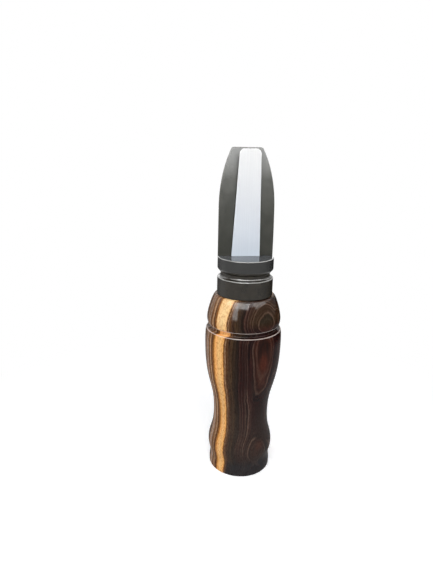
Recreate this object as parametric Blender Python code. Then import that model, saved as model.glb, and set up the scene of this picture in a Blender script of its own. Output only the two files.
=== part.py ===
"""Open-reed elk call, standing on the bell end of its barrel.

A turned hardwood barrel takes a black insert on two O-rings. The insert's flat toneboard faces -Y and carries
a reed, which a wedge holds in a slot. Metres, +Z up, with the origin at the middle of the barrel's foot.
"""

import math

import bmesh
import bpy
from mathutils import Vector
from mathutils.geometry import interpolate_bezier

MM = 0.001

# Barrel: heights run up from the foot, and the crown and belly hang from the top end
BARREL_LENGTH = 76.8 * MM
BORE_RADIUS = 7.94 * MM
FOOT_RADIUS = 13.0 * MM
FOOT_HEIGHT = 2.2 * MM
FOOT_EDGE = 0.6 * MM
NECK_RADIUS = 12.75 * MM
NECK_HEIGHT = 5.3 * MM
BEAD_RADIUS = 13.6 * MM
BEAD_HEIGHT = 11.0 * MM
WAIST_RADIUS = 11.48 * MM
WAIST_HEIGHT = 25.0 * MM
BELLY_RADIUS = 15.6 * MM
BELLY_DROP = 5.2 * MM
SHOULDER_INSET = 0.38 * MM
SHOULDER_EDGE = 0.35 * MM
LANYARD_GROOVE_WIDTH = 1.9 * MM
LANYARD_GROOVE_DEPTH = 1.1 * MM
CROWN_LENGTH = 12.2 * MM
CROWN_RADIUS = 14.9 * MM
CROWN_RISE = 2.6 * MM
CROWN_UNDERCUT = 0.5 * MM
LIP_WIDTH = 0.65 * MM
BORE_CHAMFER = 0.4 * MM
BELL_RIM = 2.8 * MM
BELL_DEPTH = 14.0 * MM

# Insert: heights run up from the shoulder that seats on the barrel
SEAT_GAP = 0.1 * MM
STEM_LENGTH = 24.0 * MM
STEM_CLEARANCE = 0.19 * MM
STEM_CHAMFER = 0.8 * MM
COLLAR_RADIUS = 11.1 * MM
COLLAR_LENGTH = 7.0 * MM
COLLAR_EDGE = 0.25 * MM
V_GROOVE_WIDTH = 3.5 * MM
V_GROOVE_DEPTH = 1.3 * MM
V_GROOVE_FLOOR = 0.5 * MM
RING_LENGTH = 4.55 * MM
PADDLE_LENGTH = 41.35 * MM
NOSE_LENGTH = 22.0 * MM
TIP_RADIUS = 6.95 * MM
TIP_EDGE = 0.3 * MM
FACE_SETBACK = 1.2 * MM
FACE_CURVE_LENGTH = 37.0 * MM
FACE_CURVE_DROP = 3.0 * MM
AIR_BORE_RADIUS = 4.0 * MM
AIR_BORE_ROOF = 2.0 * MM
CHANNEL_WIDTH = 5.0 * MM
CHANNEL_DEPTH = 5.0 * MM
CHANNEL_TIP_STOP = 10.0 * MM
CHANNEL_OVERLAP = 9.0 * MM
CUT_MARGIN = 2.0 * MM

# O-rings: their section is the squeezed one, inside the bore and outside the groove's floor
O_RING_SECTION = 1.64 * MM
O_RING_GAP = 0.08 * MM
O_RING_GROOVE_SLACK = 0.5 * MM
UPPER_O_RING_DROP = 6.5 * MM
O_RING_SPACING = 9.5 * MM

# Reed, and the wedge in front of its tail
REED_THICKNESS = 0.4 * MM
REED_BASE_WIDTH = 11.3 * MM
REED_TIP_WIDTH = 8.15 * MM
REED_TIP_SHIFT = 0.6 * MM
REED_TIP_SETBACK = 0.5 * MM
REED_CORNER = 1.5 * MM
REED_TAIL = 5.8 * MM
REED_LEAN = math.radians(0.5)
REED_GAP = 0.2 * MM
WEDGE_TOP = 1.8 * MM
WEDGE_FOOT = 1.4 * MM
WEDGE_FIT = 0.1 * MM
WEDGE_GAP = 0.3 * MM

# Fullness of the turned curves, as shares of the stretch that each one crosses
FOOT_EASE = 0.4
NECK_EASE = 0.4
BEAD_EASE = 0.34
WAIST_EASE_BELOW = 0.57
WAIST_EASE_ABOVE = 0.42
BELLY_EASE = 0.6
SHOULDER_EASE = 0.7
CROWN_FOOT_EASE = 0.7
CROWN_SIDE_EASE = 0.27
CROWN_TOP_EASE = 0.29
BELL_RIM_EASE = 0.3
BELL_THROAT_EASE = 0.6

# Smoothness
TURN_STEPS = 48
O_RING_STEPS = 40
O_RING_SIDES = 8
CURVE_STEPS = 6
FACE_CURVE_STEPS = 6
MERGE_DISTANCE = 0.001 * MM
SHARP_ANGLE = math.radians(35)

# Places that several pieces share
SEAT_HEIGHT = BARREL_LENGTH + SEAT_GAP
STEM_RADIUS = BORE_RADIUS - STEM_CLEARANCE
O_RING_RADIUS = BORE_RADIUS - O_RING_GAP - O_RING_SECTION / 2
O_RING_HEIGHTS = (-UPPER_O_RING_DROP, -UPPER_O_RING_DROP - O_RING_SPACING)
COLLAR_TOP = COLLAR_LENGTH
RING_FOOT = COLLAR_TOP + V_GROOVE_WIDTH
LEDGE = RING_FOOT + RING_LENGTH
TIP = LEDGE + PADDLE_LENGTH
SLOT_FLOOR = LEDGE - REED_TAIL - REED_GAP
AIR_BORE_TOP = SLOT_FLOOR - AIR_BORE_ROOF
REED_PIVOT_HEIGHT = LEDGE - REED_TAIL / 2
REED_PIVOT_DEPTH = FACE_SETBACK - REED_GAP - REED_THICKNESS / 2
SLOT_BACK = FACE_SETBACK + REED_GAP
WEDGE_BACK = REED_PIVOT_DEPTH - REED_THICKNESS / 2 - WEDGE_GAP


def clear_scene():
    """Remove every object that the file starts with."""
    for item in list(bpy.data.objects):
        bpy.data.objects.remove(item, do_unlink=True)


def finish_material(name, colour, roughness, coat=0.0):
    """A Principled material of one colour."""
    material = bpy.data.materials.new(name)
    material.use_nodes = True
    shader = material.node_tree.nodes["Principled BSDF"]
    shader.inputs["Base Color"].default_value = (*colour, 1.0)
    shader.inputs["Roughness"].default_value = roughness
    shader.inputs["Metallic"].default_value = 0.0
    shader.inputs["Coat Weight"].default_value = coat
    material.diffuse_color = (*colour, 1.0)
    return material


def axis_empty(name, location, parent=None, tilt=0.0):
    """An empty on a joint's axis, for the pieces that move about it."""
    empty = bpy.data.objects.new(name, None)
    empty.location = location
    empty.rotation_euler = (tilt, 0.0, 0.0)
    empty.parent = parent
    bpy.context.collection.objects.link(empty)
    return empty


def mesh_object(name, bm, material=None, parent=None):
    """Turn a finished bmesh into a named object with its faces pointing out."""
    bmesh.ops.recalc_face_normals(bm, faces=bm.faces)
    mesh = bpy.data.meshes.new(name)
    bm.to_mesh(mesh)
    bm.free()
    mesh.shade_smooth()
    mesh.set_sharp_from_angle(angle=SHARP_ANGLE)
    if material:
        mesh.materials.append(material)
    piece = bpy.data.objects.new(name, mesh)
    piece.parent = parent
    bpy.context.collection.objects.link(piece)
    return piece


def turned_mesh(profile, closed, steps=TURN_STEPS):
    """Spin an outline of (radius, height) points round the Z axis."""
    bm = bmesh.new()
    verts = [bm.verts.new((radius, 0.0, height)) for radius, height in profile]
    edges = [bm.edges.new(pair) for pair in zip(verts, verts[1:])]
    if closed:
        edges.append(bm.edges.new((verts[-1], verts[0])))
    bmesh.ops.spin(bm, geom=verts + edges, cent=(0, 0, 0), axis=(0, 0, 1), angle=2 * math.pi, steps=steps,
                   use_merge=True)
    bmesh.ops.remove_doubles(bm, verts=bm.verts, dist=MERGE_DISTANCE)
    return bm


def prism_mesh(outline, place, start, end):
    """Extrude a flat outline from start to end, where place turns (u, v, depth) into x, y, z."""
    bm = bmesh.new()
    face = bm.faces.new([bm.verts.new(place(u, v, start)) for u, v in outline])
    made = bmesh.ops.extrude_face_region(bm, geom=[face])
    raised = [item for item in made["geom"] if isinstance(item, bmesh.types.BMVert)]
    rise = Vector(place(0.0, 0.0, end)) - Vector(place(0.0, 0.0, start))
    bmesh.ops.translate(bm, verts=raised, vec=rise)
    return bm


def along_x(y, z, x):
    """Place an outline of (y, z) points that is extruded along X."""
    return (x, y, z)


def along_y(x, z, y):
    """Place an outline of (x, z) points that is extruded along Y."""
    return (x, y, z)


def eased(lower, upper, lower_ease, upper_ease):
    """A turned curve between two (radius, height) points, upright at both ends.

    Each ease is the share of the height over which the curve stays close to upright.
    """
    rise = upper[1] - lower[1]
    handle_low = (lower[0], lower[1] + lower_ease * rise)
    handle_high = (upper[0], upper[1] - upper_ease * rise)
    knots = [Vector((*point, 0.0)) for point in (lower, handle_low, handle_high, upper)]
    return [(point.x, point.y) for point in interpolate_bezier(*knots, CURVE_STEPS + 1)]


def rounded(previous, corner, following, radius, steps=4):
    """Points of the arc that rounds a corner of an outline."""
    corner = Vector(corner)
    back = (Vector(previous) - corner).normalized()
    onward = (Vector(following) - corner).normalized()
    half_angle = back.angle(onward) / 2
    bisector = (back + onward).normalized()
    centre = corner + bisector * radius / math.sin(half_angle)
    start = corner + back * radius / math.tan(half_angle) - centre
    end = corner + onward * radius / math.tan(half_angle) - centre
    turn = start.angle_signed(end)
    spin = [step / steps * turn for step in range(steps + 1)]
    arc = []
    for angle in spin:
        x = start.x * math.cos(angle) + start.y * math.sin(angle)
        y = start.y * math.cos(angle) - start.x * math.sin(angle)
        arc.append((centre.x + x, centre.y + y))
    return arc


def cut(piece, cutter):
    """Cut a piece with a helper, which stays as a wire guide."""
    cutter.hide_render = True
    cutter.display_type = "WIRE"
    boolean = piece.modifiers.new(cutter.name, "BOOLEAN")
    boolean.operation = "DIFFERENCE"
    boolean.solver = "EXACT"
    boolean.object = cutter


def barrel_outside():
    """The barrel's turned outside, from the foot up to the lip round the collar."""
    crown_foot = BARREL_LENGTH - CROWN_LENGTH
    shoulder = crown_foot - LANYARD_GROOVE_WIDTH
    shoulder_radius = BELLY_RADIUS - SHOULDER_INSET
    groove_radius = CROWN_RADIUS - CROWN_UNDERCUT - LANYARD_GROOVE_DEPTH
    foot = (FOOT_RADIUS, FOOT_HEIGHT)
    neck = (NECK_RADIUS, NECK_HEIGHT)
    bead = (BEAD_RADIUS, BEAD_HEIGHT)
    waist = (WAIST_RADIUS, WAIST_HEIGHT)
    belly = (BELLY_RADIUS, shoulder - BELLY_DROP)
    crown = (CROWN_RADIUS, crown_foot + CROWN_RISE)
    rim = (FOOT_RADIUS, 0.0)
    points = rounded((0.0, 0.0), rim, foot, FOOT_EDGE, steps=3)
    points += eased(foot, neck, FOOT_EASE, NECK_EASE)
    points += eased(neck, bead, NECK_EASE, NECK_EASE)[1:]
    points += eased(bead, waist, BEAD_EASE, WAIST_EASE_BELOW)[1:]
    points += eased(waist, belly, WAIST_EASE_ABOVE, BELLY_EASE)[1:]
    points += eased(belly, (shoulder_radius, shoulder - SHOULDER_EDGE), SHOULDER_EASE, 0.0)[1:]
    points.append((shoulder_radius - SHOULDER_EDGE, shoulder))
    points.append((groove_radius, shoulder))
    points.append((groove_radius, crown_foot - SHOULDER_EDGE))
    points += eased((CROWN_RADIUS - CROWN_UNDERCUT, crown_foot), crown, 0.0, CROWN_FOOT_EASE)
    points += crown_dome(crown)[1:]
    return points


def crown_dome(crown):
    """The crown's dome, from its widest point to the flat lip round the collar."""
    lip = (COLLAR_RADIUS + LIP_WIDTH, BARREL_LENGTH)
    side = (crown[0], crown[1] + CROWN_SIDE_EASE * (lip[1] - crown[1]))
    top = (lip[0] + CROWN_TOP_EASE * (crown[0] - lip[0]), lip[1])
    knots = [Vector((*point, 0.0)) for point in (crown, side, top, lip)]
    return [(point.x, point.y) for point in interpolate_bezier(*knots, CURVE_STEPS + 2)]


def barrel_inside():
    """The barrel's bore, from the seat down to the bell's rim."""
    bell_radius = FOOT_RADIUS - BELL_RIM
    bell = eased((bell_radius, 0.0), (BORE_RADIUS, BELL_DEPTH), BELL_RIM_EASE, BELL_THROAT_EASE)
    bell.reverse()
    mouth = [(BORE_RADIUS + BORE_CHAMFER, BARREL_LENGTH), (BORE_RADIUS, BARREL_LENGTH - BORE_CHAMFER)]
    return mouth + bell


def make_barrel():
    """Turned hardwood barrel, bored right through."""
    wood = finish_material("dark_hardwood", (0.075, 0.032, 0.018), 0.18, coat=1.0)
    return mesh_object("barrel", turned_mesh(barrel_outside() + barrel_inside(), closed=True), wood)


def stem_outside():
    """The insert's stem, from its foot up to the collar's shoulder, with a groove for each O-ring."""
    groove_radius = O_RING_RADIUS - O_RING_SECTION / 2 - O_RING_GAP
    half_groove = (O_RING_SECTION + O_RING_GROOVE_SLACK) / 2
    points = [(STEM_RADIUS - STEM_CHAMFER, -STEM_LENGTH), (STEM_RADIUS, STEM_CHAMFER - STEM_LENGTH)]
    for height in sorted(O_RING_HEIGHTS):
        points.append((STEM_RADIUS, height - half_groove))
        points.append((groove_radius, height - half_groove))
        points.append((groove_radius, height + half_groove))
        points.append((STEM_RADIUS, height + half_groove))
    points.append((STEM_RADIUS, 0.0))
    return points


def nose_radius(height):
    """Radius of the insert above its ring: a straight rod that rounds in to the tip on one arc."""
    start = TIP - NOSE_LENGTH
    fall = COLLAR_RADIUS - TIP_RADIUS
    arc = (NOSE_LENGTH ** 2 + fall ** 2) / (2 * fall)
    rise = max(0.0, height - start)
    return COLLAR_RADIUS - arc + math.sqrt(arc ** 2 - rise ** 2)


def toneboard_profile():
    """The insert's turned outline, from the roof of its air bore round to the tip."""
    groove_slope = (V_GROOVE_WIDTH - V_GROOVE_FLOOR) / 2
    floor_radius = COLLAR_RADIUS - V_GROOVE_DEPTH
    points = [(0.0, AIR_BORE_TOP), (AIR_BORE_RADIUS, AIR_BORE_TOP), (AIR_BORE_RADIUS, -STEM_LENGTH)]
    points += stem_outside()
    points.append((COLLAR_RADIUS - COLLAR_EDGE, 0.0))
    points.append((COLLAR_RADIUS, COLLAR_EDGE))
    points.append((COLLAR_RADIUS, COLLAR_TOP))
    points.append((floor_radius, COLLAR_TOP + groove_slope))
    points.append((floor_radius, RING_FOOT - groove_slope))
    points.append((COLLAR_RADIUS, RING_FOOT))
    nose_steps = 2 * CURVE_STEPS
    for step in range(nose_steps + 1):
        height = TIP - NOSE_LENGTH + step / nose_steps * (NOSE_LENGTH - TIP_EDGE)
        points.append((nose_radius(height), height))
    points.append((nose_radius(TIP) - TIP_EDGE, TIP))
    points.append((0.0, TIP))
    return points


def face_depth(height):
    """Depth of the toneboard's face behind the axis: flat, then rolling back to the tip on one arc."""
    arc = (FACE_CURVE_LENGTH ** 2 + FACE_CURVE_DROP ** 2) / (2 * FACE_CURVE_DROP)
    rise = max(0.0, height - TIP + FACE_CURVE_LENGTH)
    return FACE_SETBACK + arc - math.sqrt(arc ** 2 - rise ** 2)


def make_face_cutter(parent):
    """What is milled off the rod in front of the toneboard, down to the ledge."""
    front = -COLLAR_RADIUS - CUT_MARGIN
    top = TIP + CUT_MARGIN
    outline = [(front, LEDGE), (FACE_SETBACK, LEDGE)]
    for step in range(FACE_CURVE_STEPS + 1):
        height = TIP - FACE_CURVE_LENGTH + step / FACE_CURVE_STEPS * (FACE_CURVE_LENGTH + CUT_MARGIN)
        outline.append((face_depth(height), height))
    outline.append((front, top))
    half_width = COLLAR_RADIUS + CUT_MARGIN
    return mesh_object("face_cutter", prism_mesh(outline, along_x, -half_width, half_width), parent=parent)


def make_channel_cutter(parent):
    """The air channel under the reed, rounded at the tip end and open into the air bore."""
    half_width = CHANNEL_WIDTH / 2
    foot = AIR_BORE_TOP - CHANNEL_OVERLAP
    centre = TIP - CHANNEL_TIP_STOP - half_width
    outline = [(-half_width, foot), (half_width, foot)]
    steps = 2 * CURVE_STEPS
    for step in range(steps + 1):
        angle = math.pi * step / steps
        outline.append((half_width * math.cos(angle), centre + half_width * math.sin(angle)))
    front = WEDGE_BACK
    return mesh_object("channel_cutter", prism_mesh(outline, along_y, front, FACE_SETBACK + CHANNEL_DEPTH),
                       parent=parent)


def wedge_front(height):
    """Depth of the wedge's sloping front, thin at the slot's floor and thick at the ledge."""
    share = (height - SLOT_FLOOR) / (LEDGE - SLOT_FLOOR)
    return WEDGE_BACK - WEDGE_FOOT - share * (WEDGE_TOP - WEDGE_FOOT)


def make_slot_cutter(parent):
    """The slot down through the ring for the reed's tail and its wedge."""
    top = LEDGE + CUT_MARGIN
    outline = [(wedge_front(SLOT_FLOOR) - WEDGE_FIT, SLOT_FLOOR), (SLOT_BACK, SLOT_FLOOR), (SLOT_BACK, LEDGE),
               (FACE_SETBACK - REED_GAP / 2, LEDGE + REED_GAP / 2), (FACE_SETBACK - REED_GAP / 2, top),
               (wedge_front(top) - WEDGE_FIT, top)]
    half_width = REED_BASE_WIDTH / 2 + REED_GAP
    return mesh_object("slot_cutter", prism_mesh(outline, along_x, -half_width, half_width), parent=parent)


def make_toneboard(parent):
    """Black insert turned from one rod, with its flat face, air channel and reed slot cut into it."""
    black = finish_material("black_acetal", (0.018, 0.018, 0.017), 0.3)
    toneboard = mesh_object("toneboard", turned_mesh(toneboard_profile(), closed=False), black, parent)
    cut(toneboard, make_face_cutter(parent))
    cut(toneboard, make_channel_cutter(parent))
    cut(toneboard, make_slot_cutter(parent))
    return toneboard


def make_wedge(parent):
    """Tapered keeper, flush with the ledge, that holds the reed's tail in its slot."""
    black = finish_material("black_keeper", (0.02, 0.02, 0.019), 0.35)
    foot = SLOT_FLOOR + REED_GAP
    outline = [(WEDGE_BACK, foot), (WEDGE_BACK, LEDGE), (wedge_front(LEDGE), LEDGE), (wedge_front(foot), foot)]
    half_width = REED_BASE_WIDTH / 2 + REED_GAP - WEDGE_FIT
    return mesh_object("reed_wedge", prism_mesh(outline, along_x, -half_width, half_width), black, parent)


def make_reed(parent):
    """White reed, straight in its slot and tapered above the ledge to a rounded tip."""
    white = finish_material("white_film", (0.8, 0.83, 0.86), 0.25)
    half_base = REED_BASE_WIDTH / 2
    tail = -REED_TAIL / 2
    ledge = REED_TAIL / 2
    tip = TIP - REED_TIP_SETBACK - REED_PIVOT_HEIGHT
    right_base = (half_base, ledge)
    left_base = (-half_base, ledge)
    right_tip = (REED_TIP_SHIFT + REED_TIP_WIDTH / 2, tip)
    left_tip = (REED_TIP_SHIFT - REED_TIP_WIDTH / 2, tip)
    outline = [(-half_base, tail), (half_base, tail), right_base]
    outline += rounded(right_base, right_tip, left_tip, REED_CORNER)
    outline += rounded(right_tip, left_tip, left_base, REED_CORNER)
    outline.append(left_base)
    half_thickness = REED_THICKNESS / 2
    return mesh_object("reed", prism_mesh(outline, along_y, -half_thickness, half_thickness), white, parent)


def make_o_rings(parent):
    """Two rubber rings that carry the stem in the bore."""
    rubber = finish_material("black_rubber", (0.012, 0.012, 0.012), 0.6)
    section = []
    for side in range(O_RING_SIDES):
        angle = 2 * math.pi * side / O_RING_SIDES
        radius = O_RING_RADIUS + O_RING_SECTION / 2 * math.cos(angle)
        section.append((radius, O_RING_SECTION / 2 * math.sin(angle)))
    for name, height in zip(("upper_o_ring", "lower_o_ring"), O_RING_HEIGHTS):
        ring = mesh_object(name, turned_mesh(section, closed=True, steps=O_RING_STEPS), rubber, parent)
        ring.location.z = height


def main():
    clear_scene()
    make_barrel()
    insert_axis = axis_empty("insert_axis", (0.0, 0.0, SEAT_HEIGHT))
    make_toneboard(insert_axis)
    make_wedge(insert_axis)
    make_o_rings(insert_axis)
    reed_hinge = axis_empty("reed_hinge", (0.0, REED_PIVOT_DEPTH, REED_PIVOT_HEIGHT), insert_axis, REED_LEAN)
    make_reed(reed_hinge)
    bpy.context.view_layer.update()


main()
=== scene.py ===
"""Looks of the open-reed elk call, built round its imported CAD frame.

The barrel is figured dark hardwood under gloss lacquer, the insert satin black plastic, the reed white film.
Metres, +Z up, in the CAD's frame: the origin is the middle of the barrel's foot and the reed looks along -Y.
"""
import math

import bpy
from mathutils import Matrix, Vector
from mathutils.geometry import interpolate_bezier


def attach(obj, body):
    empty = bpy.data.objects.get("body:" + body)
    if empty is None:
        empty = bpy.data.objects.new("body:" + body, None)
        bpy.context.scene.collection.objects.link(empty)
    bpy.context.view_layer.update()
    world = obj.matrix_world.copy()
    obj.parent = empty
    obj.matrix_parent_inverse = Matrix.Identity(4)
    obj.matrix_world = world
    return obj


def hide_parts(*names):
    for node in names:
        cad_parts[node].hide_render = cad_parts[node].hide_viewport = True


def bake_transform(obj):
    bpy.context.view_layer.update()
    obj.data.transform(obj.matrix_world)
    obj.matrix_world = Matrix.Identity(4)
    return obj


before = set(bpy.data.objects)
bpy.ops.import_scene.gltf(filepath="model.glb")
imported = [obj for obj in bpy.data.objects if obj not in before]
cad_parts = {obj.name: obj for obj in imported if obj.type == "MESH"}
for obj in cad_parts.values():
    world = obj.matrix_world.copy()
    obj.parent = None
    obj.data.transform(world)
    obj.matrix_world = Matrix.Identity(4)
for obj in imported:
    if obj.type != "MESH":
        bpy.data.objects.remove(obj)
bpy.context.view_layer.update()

MM = 0.001

# Barrel, as in the CAD
BARREL_LENGTH = 76.8 * MM
BORE_RADIUS = 7.94 * MM
FOOT_RADIUS = 13.0 * MM
FOOT_EDGE = 0.6 * MM
BELLY_RADIUS = 15.6 * MM
BELLY_DROP = 5.2 * MM
SHOULDER_INSET = 0.38 * MM
LANYARD_GROOVE_WIDTH = 1.9 * MM
LANYARD_GROOVE_DEPTH = 1.1 * MM
CROWN_LENGTH = 12.2 * MM
CROWN_RADIUS = 14.9 * MM
CROWN_RISE = 2.6 * MM
CROWN_UNDERCUT = 0.5 * MM
CROWN_SLOPE = 0.35 * MM
LIP_WIDTH = 0.65 * MM
BORE_CHAMFER = 0.4 * MM
BELL_RIM = 2.8 * MM
BELL_DEPTH = 14.0 * MM
CROWN_FOOT = BARREL_LENGTH - CROWN_LENGTH
SHOULDER = CROWN_FOOT - LANYARD_GROOVE_WIDTH
# Radius and height of the turns below the belly
FOOT = (FOOT_RADIUS, 2.2 * MM)
NECK = (12.75 * MM, 5.3 * MM)
BEAD = (13.6 * MM, 11.0 * MM)
WAIST = (11.48 * MM, 25.0 * MM)
# Shares of their rise over which the turned curves stay upright, low and high
NECK_EASE = BEAD_EASE = (0.4, 0.4)
WAIST_EASE = (0.34, 0.57)
BELLY_EASE = (0.42, 0.6)
SHOULDER_EASE = (0.7, 0.0)
CROWN_EASE = (0.0, 0.7)
BELL_EASE = (0.3, 0.6)
# The same for the crown's curve in to the lip: upright, then level
LIP_UPRIGHT, LIP_LEVEL = 0.27, 0.29

# Insert, as in the CAD, with heights from the floor
SEAT = 76.9 * MM
STEM_RADIUS = 7.75 * MM
STEM_LENGTH = 24.0 * MM
STEM_CHAMFER = 0.8 * MM
COLLAR_RADIUS = 11.1 * MM
COLLAR_TOP = SEAT + 7.0 * MM
V_GROOVE_WIDTH = 3.5 * MM
V_GROOVE_DEPTH = 1.3 * MM
V_GROOVE_FLOOR = 0.5 * MM
RING_FOOT = COLLAR_TOP + V_GROOVE_WIDTH
LEDGE = RING_FOOT + 4.55 * MM
TIP = LEDGE + 41.35 * MM
NOSE_LENGTH = 22.0 * MM
TIP_RADIUS = 6.95 * MM
FACE_SETBACK = 1.2 * MM
FACE_CURVE_LENGTH = 37.0 * MM
FACE_CURVE_DROP = 3.0 * MM
AIR_BORE_RADIUS = 4.0 * MM
CHANNEL_WIDTH = 5.0 * MM
CHANNEL_DEPTH = 5.0 * MM
CHANNEL_TIP_STOP = 10.0 * MM
CHANNEL_OVERLAP = 9.0 * MM
O_RING_SECTION = 1.64 * MM
O_RING_RADIUS = 7.04 * MM
O_RING_GROOVE_RADIUS = 6.14 * MM
O_RING_GROOVE_WIDTH = 2.14 * MM
O_RING_HEIGHTS = {"upper_o_ring": SEAT - 6.5 * MM, "lower_o_ring": SEAT - 16.0 * MM}

# Reed and wedge, as in the CAD
REED_THICKNESS = 0.4 * MM
REED_BASE_WIDTH = 11.3 * MM
REED_TIP_WIDTH = 8.15 * MM
REED_TIP_SHIFT = 0.6 * MM
REED_TIP_SETBACK = 0.5 * MM
REED_TAIL = 5.8 * MM
REED_LEAN = math.radians(0.5)
REED_GAP = 0.2 * MM
REED_PIVOT = Vector((0.0, 0.8 * MM, LEDGE - REED_TAIL / 2))
WEDGE_TOP = 1.8 * MM
WEDGE_FOOT = 1.4 * MM
WEDGE_FIT = 0.1 * MM
WEDGE_BACK = 0.3 * MM
WEDGE_REACH = 0.24 * MM
SLOT_FLOOR = LEDGE - REED_TAIL - REED_GAP
AIR_BORE_TOP = SLOT_FLOOR - 2.0 * MM

# Where the photograph shows a little more shape than the CAD has
NOSE_FULLNESS = 0.45 * MM
REED_CORNER = 1.9 * MM
V_HOLLOW_FOOT = 0.55 * MM
V_HOLLOW_ROUND = 0.9 * MM

# Rounding of the edges that show
SHOULDER_ROUND = 0.42 * MM
GROOVE_ROUND = 0.3 * MM
CROWN_FOOT_ROUND = 0.3 * MM
LIP_ROUND = 0.2 * MM
COLLAR_ROUND = 0.3 * MM
RING_FOOT_ROUND = 1.1 * MM
V_FLOOR_ROUND = 0.25 * MM
STEM_ROUND = 0.12 * MM
LEDGE_ROUND = 0.38 * MM
FACE_ROUND = 0.18 * MM
TIP_ROUND = 0.35 * MM
REED_ROUND = 0.1 * MM
WEDGE_ROUND = 0.08 * MM
# Quarter turns from the front where the ledge's rounding ends, and over which it fades
LEDGE_ROUND_END = 1.06
LEDGE_ROUND_FADE = 0.08

# Smoothness
TURN_STEPS = 224
CURVE_STEPS = 20
ROUND_STEPS = 5
RING_STEPS = 128
RING_SIDES = 28
FACE_POINTS = 72
CORNER_POINTS = 5
BACK_POINTS = 96
PADDLE_ROWS = 48
REED_ROWS = 56
REED_COLUMNS = 12
REED_CORNER_ROWS = 12
REED_EDGE_POINTS = 4
WEDGE_EDGE_STEPS = 3
CUT_MARGIN = 2.0 * MM
SHARP_ANGLE = math.radians(32)
FLAT_WEIGHT = 80

# The photograph's camera, fitted to the turned rings
IMAGE_HEIGHT = 577
FOCAL_PIXELS = 470.0
SENSOR = 36.0
EYE = Vector((-31.7, -179.7, 129.43)) * MM
YAW = math.radians(6.45)
PITCH = math.radians(15.621)
ROLL = math.radians(1.07)


def srgb(code):
    """A colour written as six hex digits, as the linear colour that Blender takes."""
    shares = [int(code[at:at + 2], 16) / 255 for at in (0, 2, 4)]
    linear = [s / 12.92 if s <= 0.04045 else ((s + 0.055) / 1.055) ** 2.4 for s in shares]
    return (*linear, 1.0)


# Meshes

def add_object(name, data):
    """A new object in the scene."""
    added = bpy.data.objects.new(name, data)
    bpy.context.scene.collection.objects.link(added)
    return added


def add_mesh(name, points, faces):
    """A new object of points and faces."""
    mesh = bpy.data.meshes.new(name)
    mesh.from_pydata(points, [], faces)
    return add_object(name, mesh)


def mesh_piece(name, points, faces, material, body, slot, *nodes):
    """A piece that rides on a body, if one is given, and stands for CAD nodes."""
    piece = add_mesh(name, points, faces)
    piece.data.validate()
    piece.data.shade_smooth()
    piece.data.materials.append(material)
    if body:
        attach(piece, body)
    if nodes:
        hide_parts(*nodes)
    return piece


def smooth_flats(piece):
    """Keep flats flat and hard edges hard where rounded edges run between them."""
    piece.data.set_sharp_from_angle(angle=SHARP_ANGLE)
    weighted = piece.modifiers.new("flats", "WEIGHTED_NORMAL")
    weighted.keep_sharp = True
    weighted.weight = FLAT_WEIGHT


def eased(lower, upper, lower_ease, upper_ease):
    """A turned curve between two (radius, height) points, upright at both ends."""
    rise = upper[1] - lower[1]
    handle_low = (lower[0], lower[1] + lower_ease * rise)
    handle_high = (upper[0], upper[1] - upper_ease * rise)
    return curve(lower, handle_low, handle_high, upper)


def curve(*knots):
    """Points along one bezier curve of (radius, height) knots."""
    knots = [Vector((*point, 0.0)) for point in knots]
    return [(point.x, point.y) for point in interpolate_bezier(*knots, CURVE_STEPS + 1)]


def rounded(previous, corner, following, radius):
    """Points of the arc that rounds a corner of an outline."""
    corner = Vector(corner)
    back = (Vector(previous) - corner).normalized()
    onward = (Vector(following) - corner).normalized()
    half_angle = back.angle(onward) / 2
    centre = corner + (back + onward).normalized() * radius / math.sin(half_angle)
    start = corner + back * radius / math.tan(half_angle) - centre
    end = corner + onward * radius / math.tan(half_angle) - centre
    turn = start.angle_signed(end)
    arc = []
    for step in range(ROUND_STEPS + 1):
        angle = step / ROUND_STEPS * turn
        x = start.x * math.cos(angle) + start.y * math.sin(angle)
        y = start.y * math.cos(angle) - start.x * math.sin(angle)
        arc.append((centre.x + x, centre.y + y))
    return arc


def round_corners(corners):
    """An open outline whose inner corners are rounded by the radius given with each."""
    points = [corners[0][:2]]
    for before, here, after in zip(corners, corners[1:], corners[2:]):
        if here[2]:
            points += rounded(before[:2], here[:2], after[:2], here[2])
        else:
            points.append(here[:2])
    points.append(corners[-1][:2])
    return points


def joined_rows(rows, closed):
    """Points and faces of rows of equal length, each closed on itself, that are joined round or capped at both ends."""
    count = len(rows[0])
    points = [point for row in rows for point in row]
    faces = []
    last = len(rows) if closed else len(rows) - 1
    for at in range(last):
        low = at * count
        high = (at + 1) % len(rows) * count
        for step in range(count):
            onward = (step + 1) % count
            faces.append((low + step, low + onward, high + onward, high + step))
    if not closed:
        faces.append(tuple(range(count - 1, -1, -1)))
        faces.append(tuple(range(len(points) - count, len(points))))
    return points, faces


def ring_row(radius, height, steps):
    """Points round the axis, starting at -Y."""
    angles = [2 * math.pi * step / steps - math.pi / 2 for step in range(steps)]
    return [(radius * math.cos(angle), radius * math.sin(angle), height) for angle in angles]


# Barrel

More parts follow.
